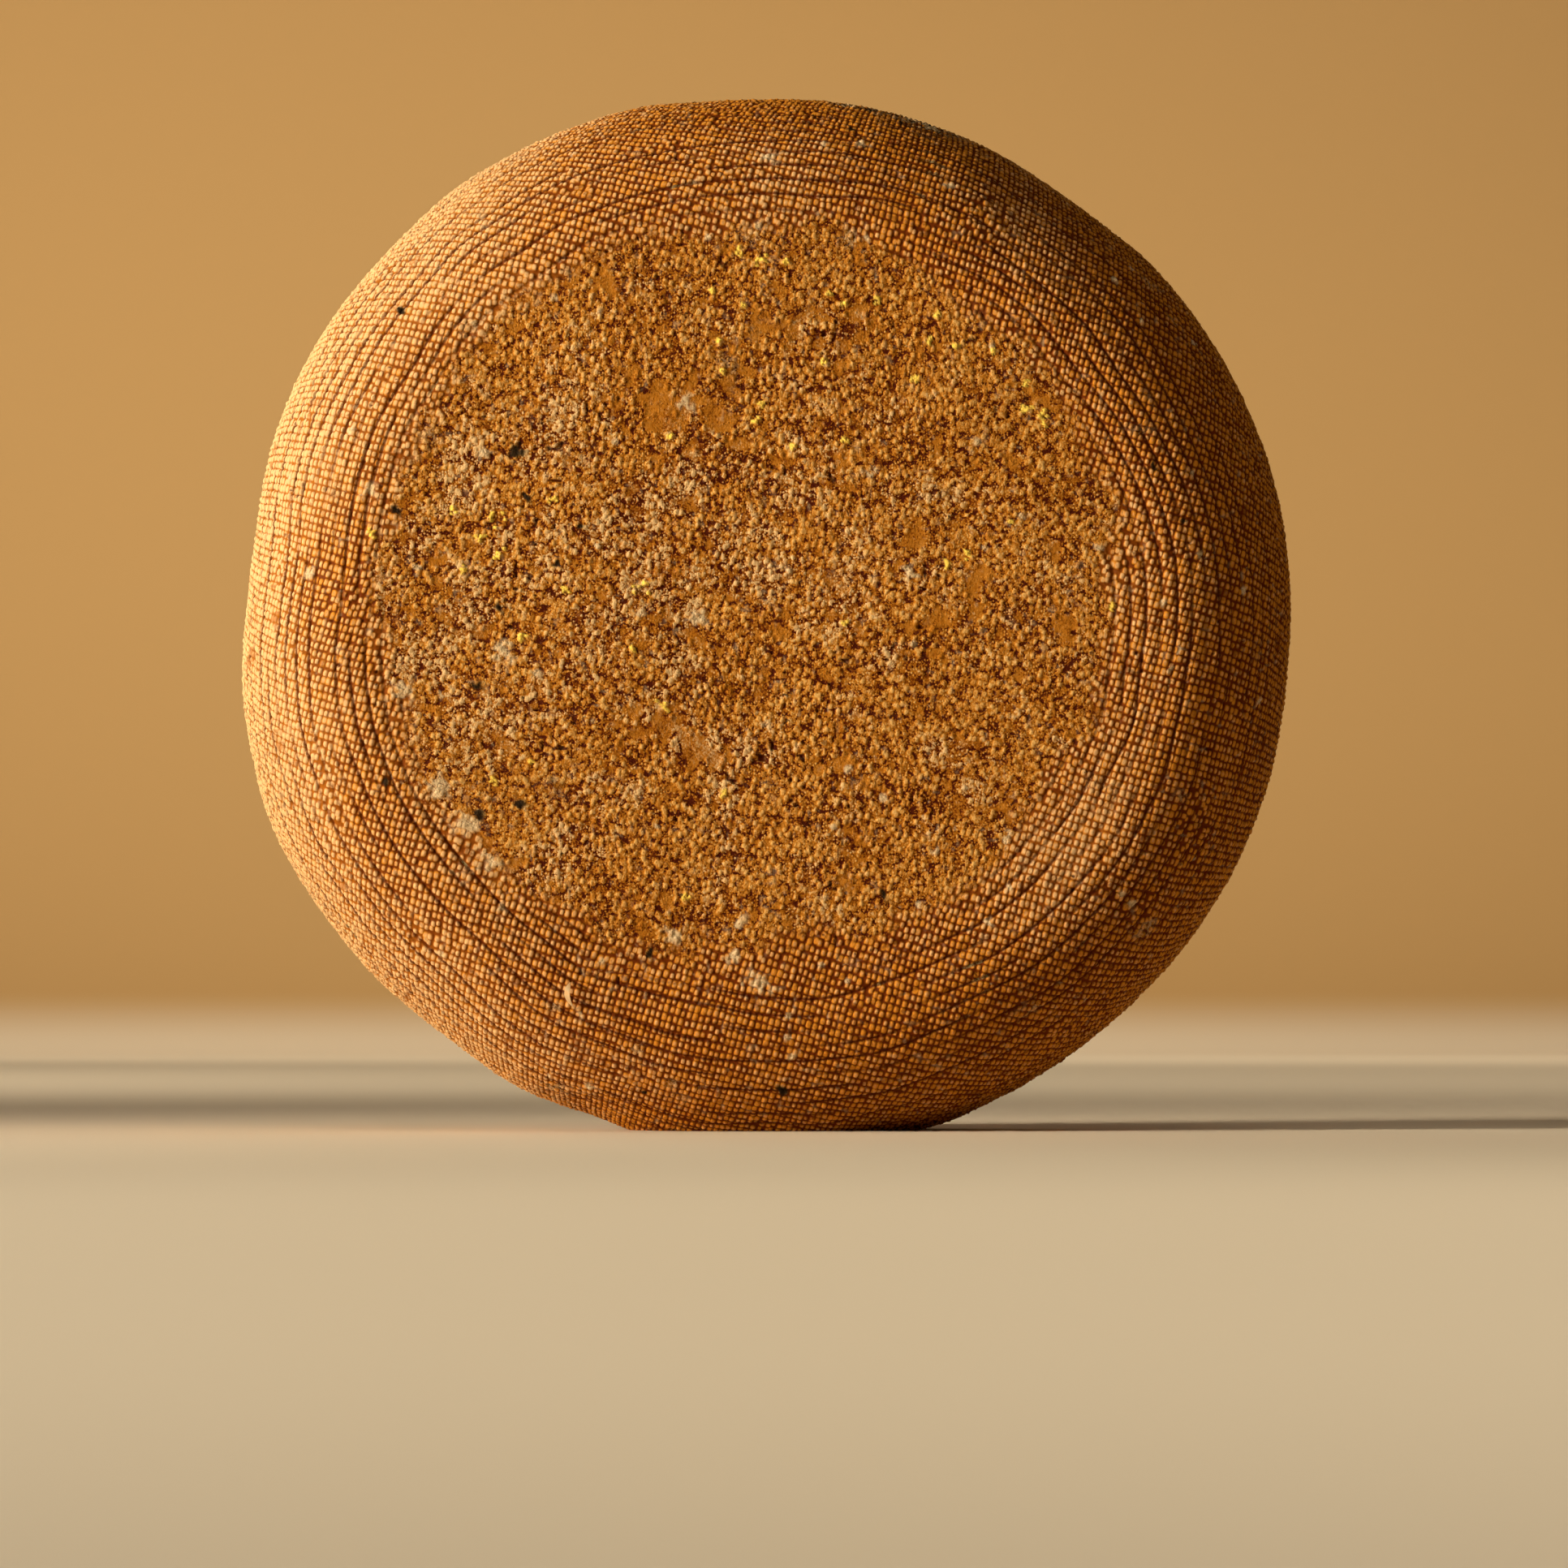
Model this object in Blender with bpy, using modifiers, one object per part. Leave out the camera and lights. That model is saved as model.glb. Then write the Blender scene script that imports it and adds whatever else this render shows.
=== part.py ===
"""A whole wheel of washed-rind cheese, pressed in cloth and standing on its rim.

The wheel is one turned solid. Its faces are flat, and its rim is a full round belly. The pressing
cloth left creases that run round the rim, and its own weight has squashed a small flat spot under it.
The wheel's axle lies along Y, its front face looks along -Y, and Z = 0 is the surface it stands on.
"""

import math

import bpy
import numpy as np
from mathutils import Matrix, Vector, noise

# Driving dimensions, in metres
WHEEL_RADIUS = 0.1012
WHEEL_THICKNESS = 0.0645
FACE_RADIUS = 0.0755
CENTRE_HEIGHT = 0.0968

# Rings of the turned profile and steps round it
FACE_RINGS = 7
CREASED_MARGIN = 0.009
RIM_INTERVALS = 39
STEPS_ROUND = 108

# Places where the mould or the shelf left the outline flatter (+) or fuller (-):
# direction seen from the front in degrees from +X, depth in metres, half width in degrees
OUTLINE_FLATS = (
    (54.0, 0.0013, 9.0),
    (92.0, 0.0005, 8.0),
    (122.0, -0.0014, 20.0),
    (173.0, 0.0020, 11.0),
    (203.0, -0.0006, 14.0),
    (232.0, 0.0011, 9.0),
    (352.0, 0.0009, 14.0),
)

# Relief, in metres
CREASE_DEPTH = 0.0009
CREASE_WANDER = 0.9
FACE_DISH = 0.0008
LUMP_SIZE = 0.012
LUMP_HEIGHT = 0.0005
SWELL_SIZE = 0.032
SWELL_HEIGHT = 0.0005

# Finish of the rind
RIND_COLOUR = (0.42, 0.19, 0.05, 1.0)
RIND_ROUGHNESS = 0.85


def clear_scene():
    """Removes whatever the scene holds."""
    for old in list(bpy.data.objects):
        bpy.data.objects.remove(old, do_unlink=True)


def rind_material():
    """Dry, matt, orange-brown washed rind."""
    material = bpy.data.materials.new("washed_rind")
    material.use_nodes = True
    shader = material.node_tree.nodes["Principled BSDF"]
    shader.inputs["Base Color"].default_value = RIND_COLOUR
    shader.inputs["Roughness"].default_value = RIND_ROUGHNESS
    shader.inputs["Metallic"].default_value = 0.0
    return material


def belly(turn):
    """Point of the rim's half ellipse: turn runs from 0 at the front face to pi at the back face."""
    depth = WHEEL_RADIUS - FACE_RADIUS
    return FACE_RADIUS + depth * math.sin(turn), WHEEL_THICKNESS / 2 * math.cos(turn)


def profile_points():
    """The half section as (radius, height over the middle plane), front face first."""
    inner = FACE_RADIUS - CREASED_MARGIN
    half = WHEEL_THICKNESS / 2
    front = [(inner * i / FACE_RINGS, half) for i in range(FACE_RINGS)]
    creased = [(inner, half)] + [belly(turn) for turn in np.linspace(0, math.pi, 400)] + [(inner, -half)]
    back = [(radius, -height) for radius, height in reversed(front)]
    return front + evenly_spaced(creased, RIM_INTERVALS) + back


def evenly_spaced(points, intervals):
    """Points at equal steps of length along a line through the given ones."""
    line = np.array(points)
    length = np.concatenate([[0], np.cumsum(np.linalg.norm(np.diff(line, axis=0), axis=1))])
    wanted = np.linspace(0, length[-1], intervals + 1)
    return list(zip(np.interp(wanted, length, line[:, 0]), np.interp(wanted, length, line[:, 1])))


def turned_wheel(name):
    """The plain wheel: its half section turned round the axle, which then lies along Y."""
    points = profile_points()
    mesh = bpy.data.meshes.new(name + "_section")
    mesh.from_pydata(
        [(radius, 0.0, height) for radius, height in points],
        [(i, i + 1) for i in range(len(points) - 1)],
        [],
    )
    section = bpy.data.objects.new(name + "_section", mesh)
    bpy.context.scene.collection.objects.link(section)
    screw = section.modifiers.new("turn", "SCREW")
    screw.axis = "Z"
    screw.angle = 2 * math.pi
    screw.steps = STEPS_ROUND
    screw.render_steps = STEPS_ROUND
    screw.use_merge_vertices = True
    screw.merge_threshold = 0.00001
    graph = bpy.context.evaluated_depsgraph_get()
    turned = bpy.data.meshes.new_from_object(section.evaluated_get(graph), depsgraph=graph)
    bpy.data.objects.remove(section, do_unlink=True)
    turned.name = name
    turned.transform(Matrix.Rotation(math.radians(90), 4, "X"))
    return turned


def outline_change(angle):
    """How far the outline stands out at this angle in degrees: the sum of its smooth flats."""
    change = 0.0
    for middle, depth, half_width in OUTLINE_FLATS:
        away = (angle - middle + 180.0) % 360.0 - 180.0
        change -= depth * math.exp(-((away / half_width) ** 2))
    return change


def crease(point, on_rim, angle):
    """Depth of the cloth's creases: every second ring sinks, and each wanders and fades round the rim."""
    around = Vector((math.cos(angle), math.sin(angle), point.y / WHEEL_THICKNESS * 4.0))
    strength = 0.75 + CREASE_WANDER * noise.noise(around * 1.7 + Vector((3.1, 0.0, 0.0)))
    return CREASE_DEPTH * on_rim * min(max(strength, 0.15), 1.3)


def relief(point, sunken):
    """Moves one point of the plain wheel to its place on the real, uneven one."""
    radius = math.hypot(point.x, point.z)
    if radius < 1e-9:
        outward = Vector((0.0, math.copysign(1.0, point.y), 0.0))
        angle = 0.0
    else:
        angle = math.atan2(point.z, point.x)
        out = max(radius - FACE_RADIUS, 0.0) / (WHEEL_RADIUS - FACE_RADIUS) ** 2
        side = point.y / (WHEEL_THICKNESS / 2) ** 2
        outward = Vector((point.x / radius * out, side, point.z / radius * out)).normalized()
    on_rim = min(max((radius - FACE_RADIUS + CREASED_MARGIN) / CREASED_MARGIN, 0.0), 1.0)
    lumps = LUMP_HEIGHT * on_rim * noise.fractal(point / LUMP_SIZE, 0.9, 2.0, 2)
    swells = SWELL_HEIGHT * noise.noise(point / SWELL_SIZE + Vector((7.0, 2.0, 5.0)))
    dish = FACE_DISH * (1.0 - min(radius / FACE_RADIUS, 1.0) ** 2)
    groove = crease(point, on_rim, angle) if sunken else 0.0
    moved = point + outward * (lumps + swells - dish - groove)
    share = min(radius / WHEEL_RADIUS, 1.0) ** 3
    stretch = 1.0 + outline_change(math.degrees(angle)) * share / WHEEL_RADIUS
    return Vector((moved.x * stretch, moved.y, moved.z * stretch))


def sunken_rings():
    """Radius and height of every second ring of the creased part, as a set of rounded pairs."""
    rings = profile_points()[FACE_RINGS:-FACE_RINGS]
    return {(round(radius, 6), round(height, 6)) for radius, height in rings[1::2]}


def shape_wheel(mesh):
    """Gives the turned mesh its uneven outline, relief and flat spot, and lifts it onto Z = 0."""
    creases = sunken_rings()
    for vertex in mesh.vertices:
        point = vertex.co.copy()
        # The quarter turn about X that laid the axle down sends the profile's height to -Y.
        place = (round(math.hypot(point.x, point.z), 6), round(-point.y, 6))
        moved = relief(point, place in creases)
        moved.z = max(moved.z + CENTRE_HEIGHT, 0.0)
        vertex.co = moved


def cheese_wheel(collection):
    """The whole cheese as one solid."""
    mesh = turned_wheel("cheese_wheel")
    shape_wheel(mesh)
    mesh.materials.clear()
    mesh.materials.append(rind_material())
    mesh.shade_smooth()
    wheel = bpy.data.objects.new("cheese_wheel", mesh)
    collection.objects.link(wheel)
    return wheel


def main():
    clear_scene()
    collection = bpy.data.collections.new("cheese_wheel")
    bpy.context.scene.collection.children.link(collection)
    cheese_wheel(collection)


main()
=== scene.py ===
"""The rind of a whole cheese wheel that stands on its rim, with its studio.

The rind is worked out as one surface. Its place comes from two numbers, the direction round the axle
and the distance along the wheel's half section, and its height from the print of the pressing cloth,
the creases round the rim and the grain of the mite-eaten faces. Lengths are in millimetres until a
mesh is made.
"""

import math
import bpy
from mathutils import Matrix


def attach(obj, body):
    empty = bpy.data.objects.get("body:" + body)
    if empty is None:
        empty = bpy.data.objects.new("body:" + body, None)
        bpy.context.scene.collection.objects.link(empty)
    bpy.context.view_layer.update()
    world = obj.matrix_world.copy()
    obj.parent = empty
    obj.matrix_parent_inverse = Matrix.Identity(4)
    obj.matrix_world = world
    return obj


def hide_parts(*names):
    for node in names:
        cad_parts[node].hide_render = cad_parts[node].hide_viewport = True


bl_info = {
    "name": "Cheese Wheel",
    "version": (1, 0, 0),
    "blender": (4, 5, 0),
    "location": "View3D > Sidebar > Cheese",
    "description": "A washed-rind cheese wheel with the print of its pressing cloth, mould and crumbs",
    "category": "Object",
}

import bpy
import numpy as np
from bpy.props import FloatProperty, FloatVectorProperty, PointerProperty
from bpy.types import Operator, Panel, PropertyGroup
from mathutils import Vector

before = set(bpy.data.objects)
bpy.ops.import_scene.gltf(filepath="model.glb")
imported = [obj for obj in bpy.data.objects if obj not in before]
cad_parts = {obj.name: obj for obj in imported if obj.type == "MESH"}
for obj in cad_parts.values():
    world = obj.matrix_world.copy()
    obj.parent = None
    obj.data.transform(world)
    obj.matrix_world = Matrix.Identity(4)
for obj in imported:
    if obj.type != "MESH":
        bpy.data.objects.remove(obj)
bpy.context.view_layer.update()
NODE = "cheese_wheel"
BODY = "root"

MM = 0.001

# Grid of the rind. The faces' round edge has four times as many steps as a face has across it, so
# that the faces and the rim share their points there.
FACE_STEPS = 420
RIM_STEPS = 264
STEPS_ROUND = 4 * FACE_STEPS
RIM_SECTORS = 8
FACE_EDGE = 72.0
WALL = 4.0

# The ring outside which the cloth's print is fresh, and how many beads the back's weave is counted
# on, so that its beads aren't the front's
PRINT_EDGE = 72.0
BACK_WEAVE = 300.0

# Lumps to a spot of yellow mould, and small white tufts with the radius that they are strewn over
LUMPS_PER_SPOT = 7
SMALL_TUFTS = 60
TUFTS_WITHIN = 97

# Patch of black mould and dust at the upper edge: right of and above the middle, how far it lies
# behind the front's surface, and its reach
FOULED_AT = (26.0, 96.0)
FOULED_BEHIND = 8.0
FOULED_SIZE = (20.0, 13.0, 8.0)

# Steps along a sliver and round it, and half its thickness
SLIVER_STEPS = 32
SLIVER_AROUND = 16
SLIVER_HALF = 0.09

# Levels in a piece's UV map, below the square of its grid: the wall's top and foot, and the cone's
# edge and tip
UV_LEVELS = (0.016, 0.010, 0.008, 0.003)

# The picture's size and the wheel's middle in it, in pixels, and the width of the camera's sensor
PICTURE = 1932
WHEEL_AT = (943.5, 770.0)
SENSOR = 36.0

# The studio's paper, in metres: radius of its floor, radius of its bend, top of its wall, and steps
# round it and along its bend
FLOOR_RADIUS = 2.2
BEND_RADIUS = 1.0
WALL_HEIGHT = 3.0
SWEEP_STEPS = 128
BEND_STEPS = 48

# Colours of the lamps
WARM_LAMP = "#fff1de"
SOFT_LAMP = "#fff4e6"
PALE_LAMP = "#fff4e2"

# Words and turns of the last mix of the lookup3 hash, where that hash starts and what it adds
MIX_STEPS = ((2, 1, 14), (0, 2, 11), (1, 0, 25), (2, 1, 16), (0, 2, 4), (1, 0, 14), (2, 1, 24))
HASH_START = 0xDEADBEEF
HASH_ADDED = 13

# Where the mould or the shelf left the outline flatter (+) or fuller (-): direction from +X seen from
# the front in degrees, depth in millimetres, half width in degrees
OUTLINE_FLATS = (
    (54.0, 1.3, 9.0),
    (92.0, 0.5, 8.0),
    (122.0, -1.4, 20.0),
    (173.0, 2.0, 11.0),
    (203.0, -0.6, 14.0),
    (232.0, 1.1, 9.0),
    (251.0, 1.3, 6.5),
    (352.0, 0.9, 14.0),
)

# Tufts of white mould on the front: right of and above the wheel's middle, and their reach
WHITE_TUFTS = (
    (-1.5, -69, 2.6), (4, -79, 0.8), (4, -75, 0.9), (-5, -58, 1.2), (-6, -64, 1.4), (-17, -60, 1.6),
    (-29, -70, 0.7), (-31, -65, 0.7), (-35, -75, 0.9), (-38, -70, 0.7), (-42, -85, 0.7),
    (-61, -32, 2.2), (-56, -39, 2.4), (-52, -46, 2.0), (-68, -14, 1.8), (-49, -7, 2.2), (-66, 9, 1.2),
    (-87, 8, 1.6), (-75, 24, 1.6), (-53, 31, 1.1), (-23, 1, 0.8), (-13, 0, 1.6), (0, -20, 0.8),
    (4, 9, 0.9), (27, 9, 1.6), (40, 33, 1.5), (63, 13, 1.1), (82, 12, 0.8), (-15, 40, 1.5),
    (1, 87, 1.6), (11, 90, 0.8), (18, 90, 1.0),
)

# Yellow mould on the front, in the same terms
YELLOW_MOULD = (
    (-5, 69, 0.6), (-1, 67, 1.1), (4, 67, 0.6), (-10, 61, 0.6), (-4, 59, 0.6), (12, 61, 0.6),
    (15, 59, 0.6), (21, 60, 0.6), (32, 57, 0.6), (-9, 52, 0.6), (-8, 46, 0.6), (11, 48, 0.6),
    (31, 52, 0.6), (36, 51, 0.6), (43, 50, 0.6), (28, 45, 0.6), (49, 44, 0.6), (49, 39, 1.0),
    (52, 37, 1.6), (-1, 40, 0.6), (-2, 37, 0.6), (15, 33, 0.6), (5, 32, 0.6), (-18, 34, 0.6),
    (-40, 22, 0.5), (-59, 20, 0.6), (-51, 19, 1.2), (-54, 15, 1.1), (-50, 12, 0.9), (-57, 9, 0.6),
    (-75, 16, 0.9), (-38, 5, 0.6), (-23, 6, 1.3), (-25, -6, 0.5), (34, 10, 0.6), (38, 12, 0.6),
    (46, 18, 0.6), (65, 2, 0.6), (15, -1, 0.6), (-46, -4, 1.0), (-19, -17, 1.0), (-44, -27, 0.5),
    (-51, -31, 0.6), (-8, -33, 0.6), (-15, -53, 0.6),
)

# Spots of dark mould on the front, in the same terms
DARK_SPOTS = (
    (-70, 20, 1.0), (-47, 31, 1.5), (-45, 22, 1.1), (-39, 10, 0.9), (-50, 2, 1.0), (-54, -13, 1.1),
    (-35, 17, 0.7), (-25, 16, 0.7), (-54, -37, 1.2), (-46, -35, 1.0), (-71, -31, 0.8), (-69, 58, 0.9),
    (-22, -63, 1.1), (22, -52, 0.9), (3, -89, 1.3), (-23, -90, 0.9), (73, 28, 1.0), (79, 18, 0.7),
    (16, 93, 1.0), (20, 98, 1.2), (26, 95, 0.9),
)

# Slivers that brushing tore loose: their ends right of and above the middle, sideways bow, width,
# height over the rind at the ends and between them, and lean
SLIVERS = (
    {
        "right": (-36.7, -36.0),
        "up": (-68.8, -73.8),
        "bow": -0.9,
        "width": 1.1,
        "foot": 0.25,
        "lift": 1.3,
        "lean": 0.9,
    },
)


def linear(hex_colour):
    """Turns an sRGB hex colour into linear red, green, blue and alpha."""
    parts = [int(hex_colour[i : i + 2], 16) / 255 for i in (1, 3, 5)]
    parts = [c / 12.92 if c <= 0.04045 else ((c + 0.055) / 1.055) ** 2.4 for c in parts]
    return (*parts, 1.0)


# Settings


def length_setting(name, default, description):
    """A length in metres."""
    return FloatProperty(name=name, default=default, description=description, unit="LENGTH", precision=5)


def angle_setting(name, degrees, description):
    """An angle, given in degrees."""
    return FloatProperty(name=name, default=math.radians(degrees), description=description, subtype="ANGLE")


def power_setting(name, default, description):
    """A power in watts."""
    return FloatProperty(name=name, default=default, description=description, unit="POWER")


def colour_setting(name, hex_colour, description):
    """A linear colour with alpha."""
    return FloatVectorProperty(
        name=name, default=linear(hex_colour), description=description, size=4, min=0, max=1, subtype="COLOR"
    )


class CheeseSizes(PropertyGroup):
    """The wheel's driving dimensions."""

    radius: length_setting("Radius", 0.1012, "Middle of the rim to the wheel's axle")
    thickness: length_setting("Thickness", 0.0645, "Face to face")
    face_radius: length_setting("Face radius", 0.0755, "Where a flat face turns into the rim's belly")
    height: length_setting("Axle height", 0.0968, "The axle over the surface that the wheel stands on")
    dish: length_setting("Dish", 0.0008, "How far the middle of a face has sunk")


class CheeseRelief(PropertyGroup):
    """The relief of the rind."""

    bead_across: length_setting("Bead width", 0.00115, "Spacing of the cloth's warp")
    bead_along: length_setting("Bead height", 0.00149, "Spacing of the cloth's weft")
    cloth_turn: angle_setting("Cloth turn", -16, "How the front cloth lay")
    back_turn: angle_setting("Back cloth turn", 31, "How the back cloth lay")
    bead_rise: length_setting("Bead rise", 0.00036, "Height of the beads that the cloth printed")
    grain_rise: length_setting("Grain rise", 0.00024, "Height of the grains on the eaten faces")
    crease_step: length_setting("Crease spacing", 0.0030, "From one crease round the rim to the next")
    crease_depth: length_setting("Crease depth", 0.00048, "Depth of the strongest creases")


class CheeseColours(PropertyGroup):
    """Colours of the rind and its moulds."""

    # Straw and crumb are also painted highlight on the lit tops of beads and grains.
    straw: colour_setting("Straw", "#e3b67c", "Dry tops of the beads")
    amber: colour_setting("Amber", "#d28622", "Moist tops of the beads")
    honey: colour_setting("Honey", "#a25c12", "Between dry beads")
    # Groove is moist rind and also painted shade in the creases and the crevices between grains.
    groove: colour_setting("Groove", "#6a2c00", "Between moist beads")
    # Crease is painted shade as well as moist rind: the darkest colour, deep in creases and pits and in the
    # crevices between grains.
    crease: colour_setting("Crease", "#481400", "Deep in the creases and between the grains")
    ground: colour_setting("Ground", "#ae6a12", "Moist rind under the grain")
    grain: colour_setting("Grain", "#c28230", "Sides of the grains")
    crumb: colour_setting("Crumb", "#dfae62", "Tops of the grains and crumbs")
    powder: colour_setting("Powder", "#e0bd86", "Grey-beige dust of eaten rind")
    yellow: colour_setting("Yellow mould", "#ffd95a", "Bright yellow mould")
    white: colour_setting("White mould", "#d6ba8c", "White mould")
    grey: colour_setting("Grey mould", "#8a7a50", "Grey-green mould that lies in some creases")
    black: colour_setting("Black specks", "#2a1d0c", "Dark mould and pits")


# Random fields


def smooth_step(low, high, value):
    """0 below low, 1 above high and an S curve between them."""
    t = np.clip((value - low) / (high - low), 0.0, 1.0)
    return t * t * (3.0 - 2.0 * t)


def field(place, size, seed):
    """Smooth random field from -1 to 1.

    Random numbers sit on the corners of cubes with edges of this size, and an S curve in each
    direction blends the eight around each place.
    """
    table = np.random.default_rng(seed).uniform(-1, 1, (64, 64, 64)).astype(np.float32)
    spot = place / size
    low = np.floor(spot)
    part = (spot - low).astype(np.float32)
    part = part * part * (3 - 2 * part)
    i, j, k = (low[..., n].astype(np.int64) & 63 for n in range(3))
    u, v, w = (part[..., n] for n in range(3))
    i1, j1, k1 = (i + 1) & 63, (j + 1) & 63, (k + 1) & 63
    near = (table[i, j, k] * (1 - u) + table[i1, j, k] * u) * (1 - v) + (
        table[i, j1, k] * (1 - u) + table[i1, j1, k] * u
    ) * v
    far = (table[i, j, k1] * (1 - u) + table[i1, j, k1] * u) * (1 - v) + (
        table[i, j1, k1] * (1 - u) + table[i1, j1, k1] * u
    ) * v
    return near * (1 - w) + far * w


def rotated(bits, places):
    """32-bit words turned left by some places."""
    return (bits << np.uint32(places)) | (bits >> np.uint32(32 - places))


def mixed(a, b, c):
    """The last word of the lookup3 mix, as the Voronoi node uses it."""
    for left, right, places in MIX_STEPS:
        words = [a, b, c]
        words[left] = (words[left] ^ words[right]) - rotated(words[right], places)
        a, b, c = words
    return c


def cell_numbers(column, row):
    """Two random numbers from 0 to 1 for each cell: the same that the Voronoi node gives it."""
    x = np.ascontiguousarray(column + 0.0, np.float32).view(np.uint32)
    y = np.ascontiguousarray(row + 0.0, np.float32).view(np.uint32)
    two = np.uint32(HASH_START + (2 << 2) + HASH_ADDED)
    three = np.uint32(HASH_START + (3 << 2) + HASH_ADDED)
    one = np.full_like(x, np.float32(1.0).view(np.uint32))
    first = mixed(x + two, y + two, np.full_like(x, two))
    second = mixed(x + three, y + three, one + three)
    return first / np.float64(0xFFFFFFFF), second / np.float64(0xFFFFFFFF)


def beads(across, along, wander):
    """Distance from the nearest bead's middle, and a random number for that bead.

    Beads sit one to a square cell of the cloth, each moved from its corner by up to wander of a cell.
    The distance is the cube root of the sum of cubes, which makes round-cornered squares, and is the
    one that the material's Voronoi node draws.
    """
    column, row = np.floor(across), np.floor(along)
    nearest = np.full(across.shape, 9.0)
    number = np.zeros(across.shape)
    for j in (-1, 0, 1):
        for i in (-1, 0, 1):
            first, second = cell_numbers(column + i, row + j)
            away_x = np.abs(column + i + first * wander - across)
            away_y = np.abs(row + j + second * wander - along)
            distance = np.cbrt(away_x**3 + away_y**3)
            closer = distance < nearest
            nearest = np.where(closer, distance, nearest)
            number = np.where(closer, (first * 7.0 + second * 5.0) % 1.0, number)
    return nearest, number


# The wheel's form


class Section:
    """The wheel's half section, by distance along it from the middle of the front face."""

    def __init__(self, sizes):
        self.radius = sizes.radius / MM
        self.face = sizes.face_radius / MM
        self.half = sizes.thickness / MM / 2
        self.height = sizes.height / MM
        self.dish = sizes.dish / MM
        turn = np.linspace(0, math.pi, 2001)
        r = np.concatenate([[0.0], self.face + (self.radius - self.face) * np.sin(turn), [0.0]])
        y = np.concatenate([[-self.half], -self.half * np.cos(turn), [self.half]])
        out = np.concatenate([[0.0], self.half * np.sin(turn), [0.0]])
        side = np.concatenate([[-1.0], -(self.radius - self.face) * np.cos(turn), [1.0]])
        self.path = np.concatenate([[0.0], np.cumsum(np.hypot(np.diff(r), np.diff(y)))])
        self.total = self.path[-1]
        self.points = r, y, out, side

    def at(self, path):
        """Radius, place along the axle and outward direction at these distances along the section."""
        r, y, out, side = (np.interp(path, self.path, values) for values in self.points)
        size = np.hypot(out, side)
        return r, y, out / size, side / size


def outline_change(theta):
    """How far the outline stands out in each direction: the sum of its bell-shaped flats."""
    degrees = np.degrees(theta)
    change = np.zeros_like(degrees)
    for middle, depth, half_width in OUTLINE_FLATS:
        away = (degrees - middle + 180) % 360 - 180
        change -= depth * np.exp(-((away / half_width) ** 2))
    return change


def placed(section, theta, path, rise):
    """Points of the rind in millimetres.

    The section's point moves out by the rise, is swept round the axle, is stretched by the outline
    with the cube of its share of the radius, and is pressed flat where it would pass below Z = 0.
    """
    r, y, out, side = section.at(path)
    r, y = r + out * rise, y + side * rise
    r = r * (1 + outline_change(theta) * np.minimum(r / section.radius, 1) ** 3 / section.radius)
    z = np.maximum(r * np.sin(theta) + section.height, 0)
    return np.stack([r * np.cos(theta), y, z], -1)


# The rind's relief


def creases(theta, ring, ground, back, step):
    """How strongly a crease of the cloth cuts in at each place, and the place counted in creases.

    A crease lies on every step of distance from a point just off the face's middle. Each has its own
    strength, which rises and falls along its arc.
    """
    wander = 1.5 * field(ground, 34.0, 11) + 0.8 * field(ground, 11.0, 12)
    lines = (ring + 2.2 * np.cos(theta - 2.9) + wander) / step
    line = np.round(lines)
    arc = np.stack([120 * np.cos(theta), 120 * np.sin(theta), 61.0 * line + 977.0 * back], -1)
    strength = 0.82 + 0.8 * field(arc, 30.0, 13) + 0.4 * field(arc, 9.0, 14)
    return smooth_step(-0.1, 1.0, strength), lines


def spots(place, positions, heights, sizes):
    """The strongest of some round bumps: each falls off as a bell from its own place."""
    most = np.zeros(place.shape[:-1])
    for spot, height, size in zip(positions, heights, sizes):
        away = ((place - spot) ** 2).sum(-1)
        most = np.maximum(most, height * np.exp(-away / size**2))
    return most


def on_front(section, right, up):
    """Places on the front, in millimetres, from distances right of and above the wheel's middle."""
    radius = np.hypot(right, up)
    outwards = np.linspace(0, section.total / 2, 600)
    path = np.interp(radius, section.at(outwards)[0], outwards)
    return placed(section, np.arctan2(up, right), path, np.zeros_like(path))


def both_sides(section, right, up, sizes, step):
    """Places on the front and, from every few of them, mirrored places on the back, with their sizes."""
    front = on_front(section, right, up)
    back = front[::step] * (-1, -1, 1) + (4.0, 0, 3.0)
    return np.concatenate([front, back]), np.concatenate([sizes, sizes[::step]])


def yellow_lumps(section):
    """Lumps of yellow mould: each spot is a cluster of seven that lie within its reach."""
    draw = np.random.default_rng(5)
    right, up, reach = np.repeat(np.array(YELLOW_MOULD), LUMPS_PER_SPOT, 0).T
    right = right + draw.normal(0, 0.6, len(right)) * reach
    up = up + draw.normal(0, 0.6, len(up)) * reach
    return both_sides(section, right, up, draw.uniform(0.28, 0.38, len(up)) * (0.8 + 0.3 * reach), 3)


def white_tufts(section):
    """Tufts of white mould: the named ones, and small ones strewn over both sides."""
    named = np.array(WHITE_TUFTS)
    draw = np.random.default_rng(6)
    angle = draw.uniform(0, 2 * math.pi, SMALL_TUFTS)
    radius = TUFTS_WITHIN * np.sqrt(draw.uniform(0, 1, SMALL_TUFTS))
    reach = draw.uniform(0.5, 1.0, SMALL_TUFTS)
    small = np.stack([radius * np.cos(angle), radius * np.sin(angle), reach], -1)
    right, up, sizes = np.concatenate([named, small]).T
    return both_sides(section, right, up, sizes, 2)


def dark_spots(section):
    """Spots of dark mould: the named ones."""
    right, up, sizes = np.array(DARK_SPOTS).T
    return both_sides(section, right, up, sizes, 1)


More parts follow.
